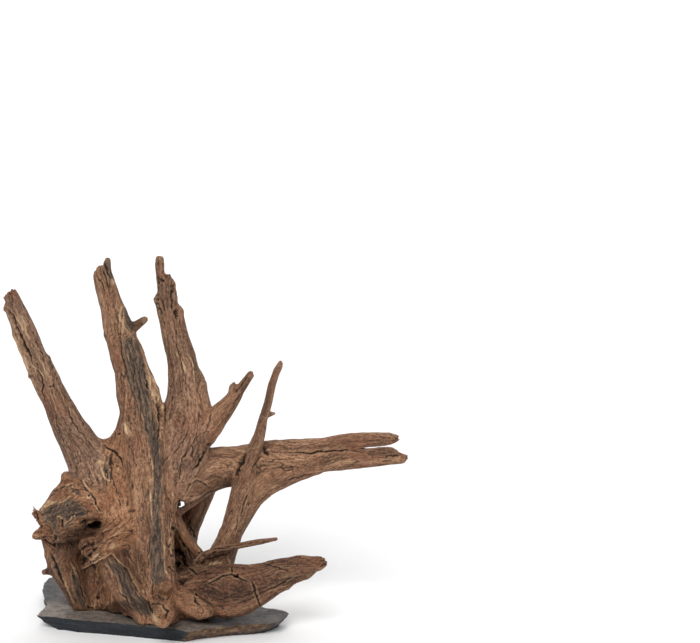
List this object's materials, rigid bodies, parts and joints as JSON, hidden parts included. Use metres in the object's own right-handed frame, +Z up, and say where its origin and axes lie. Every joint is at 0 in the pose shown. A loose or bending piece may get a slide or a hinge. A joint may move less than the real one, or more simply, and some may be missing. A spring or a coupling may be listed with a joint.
{
  "type": "aquascaping driftwood on slate",
  "caption": "Branching driftwood stump with upright roots, a forked side arm, a blocky knot and open arches, fixed on a rough slate plate that holds it down in an aquarium.",
  "frame": {"origin": "on the flat underside of the slate, under the stump", "axes": "+Z up out of the underside, +X along the side arm to the object's right, -Y towards the front"},
  "size_m": [0.278, 0.1493, 0.2571],
  "materials": {
    "wood": "weathered, matte",
    "slate": "riven, matte"
  },
  "bodies": {
    "root": {"stump": "wood", "left_root": "wood", "middle_root": "wood", "tall_root": "wood", "forked_root": "wood", "thin_root": "wood", "split_arm": "wood", "strut_root": "wood", "rear_root": "wood", "foot_stub": "wood", "twig": "wood", "slate_base": "slate"}
  },
  "joints": []
}
